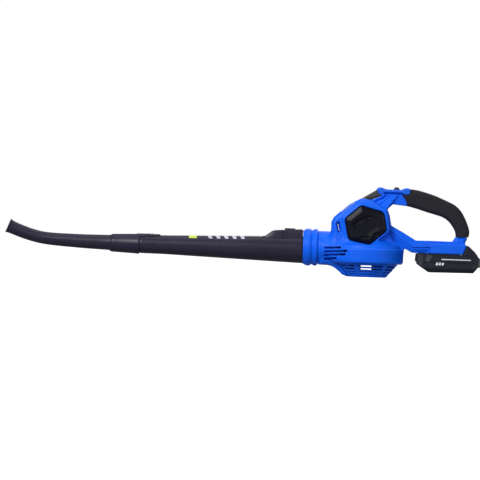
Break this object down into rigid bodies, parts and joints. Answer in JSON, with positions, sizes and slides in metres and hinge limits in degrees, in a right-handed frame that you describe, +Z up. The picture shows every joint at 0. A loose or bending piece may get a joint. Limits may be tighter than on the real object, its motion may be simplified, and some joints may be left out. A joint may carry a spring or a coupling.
{
  "type": "leaf blower",
  "caption": "Cordless handheld blower: clamshell fan housing with loop grip, long tapered blow tube, bent nozzle and slide-on battery.",
  "frame": {"origin": "fan axis at the flat bottom of the intake guard, on which the blower stands", "axes": "+X rearwards to the battery, -X forwards to the nozzle, +Y to the user's right, +Z up along the fan axis"},
  "size_m": [0.8605, 0.1336, 0.1639],
  "materials": {
    "blue_shell": "satin moulded",
    "black_plastic": "satin moulded",
    "soft_grip": "matte overmoulded",
    "charcoal_plastic": "satin moulded",
    "battery_plastic": "fine texture",
    "grey_plastic": "satin",
    "steel": "plated",
    "aluminium": "cast",
    "copper": "enamelled winding",
    "contact_brass": "plated",
    "ferrite": "sintered",
    "circuit_board": "solder mask",
    "red_lead": "insulated",
    "black_lead": "insulated",
    "cell_can": "shrink wrapped"
  },
  "bodies": {
    "housing": {"housing_left": "blue_shell", "housing_right": "blue_shell", "outlet_collar": "blue_shell", "intake_guard": "blue_shell", "hex_cover_left": "black_plastic", "hex_cover_right": "black_plastic", "grip_sleeve": "soft_grip", "front_grip_pad": "soft_grip", "switch_bezel": "blue_shell", "switch_body": "grey_plastic", "fan_back_plate": "black_plastic", "motor_can": "steel", "motor_end_cap": "aluminium", "lower_bearing": "steel", "upper_bearing": "steel", "magnet_left": "ferrite", "magnet_right": "ferrite", "brush_left": "ferrite", "brush_right": "ferrite", "controller_board": "circuit_board", "terminal_block": "black_plastic", "terminal_negative": "contact_brass", "terminal_positive": "contact_brass", "battery_lead_red": "red_lead", "battery_lead_black": "black_lead", "motor_lead_red": "red_lead", "motor_lead_black": "black_lead", "switch_cable": "black_lead", "housing_screw_1": "steel", "housing_screw_2": "steel", "housing_screw_3": "steel", "housing_screw_4": "steel", "housing_screw_5": "steel", "housing_screw_6": "steel"},
    "rotor": {"impeller": "black_plastic", "motor_shaft": "steel", "impeller_nut": "steel", "armature": "copper", "commutator": "copper"},
    "switch_slider": {"power_switch": "black_plastic"},
    "blow_tube": {"main_tube": "charcoal_plastic", "latch_spring": "steel"},
    "tube_latch": {"tube_latch_button": "charcoal_plastic"},
    "blow_nozzle": {"nozzle": "charcoal_plastic"},
    "battery": {"battery_lower_case": "battery_plastic", "battery_upper_case": "battery_plastic", "battery_board": "circuit_board", "battery_cell_1": "cell_can", "battery_cell_2": "cell_can", "battery_cell_3": "cell_can", "battery_cell_4": "cell_can", "battery_cell_5": "cell_can"},
    "battery_button": {"battery_release_button": "grey_plastic"}
  },
  "joints": [
    {"name": "impeller_spin", "type": "hinge", "parent": "housing", "child": "rotor", "pos_m": [0, 0, 0.075], "axis": [0, 0, 1], "continuous": true},
    {"name": "power_switch_slide", "type": "slide", "parent": "housing", "child": "switch_slider", "axis": [-1, 0, 0], "range_m": [0, 0.012]},
    {"name": "tube_slide", "type": "slide", "parent": "housing", "child": "blow_tube", "axis": [-1, 0, 0], "range_m": [0, 0.07]},
    {"name": "tube_latch_press", "type": "slide", "parent": "blow_tube", "child": "tube_latch", "axis": [0, 0, -1], "range_m": [0, 0.003], "stiffness_N_per_m": 400, "springref_m": -0.001, "deforming": ["latch_spring"]},
    {"name": "nozzle_slide", "type": "slide", "parent": "blow_tube", "child": "blow_nozzle", "axis": [-1, 0, 0], "range_m": [0, 0.06]},
    {"name": "battery_slide", "type": "slide", "parent": "housing", "child": "battery", "axis": [1, 0, 0], "range_m": [0, 0.09]},
    {"name": "battery_release_press", "type": "slide", "parent": "battery", "child": "battery_button", "axis": [-1, 0, 0], "range_m": [0, 0.003], "stiffness_N_per_m": 500, "springref_m": -0.001}
  ]
}
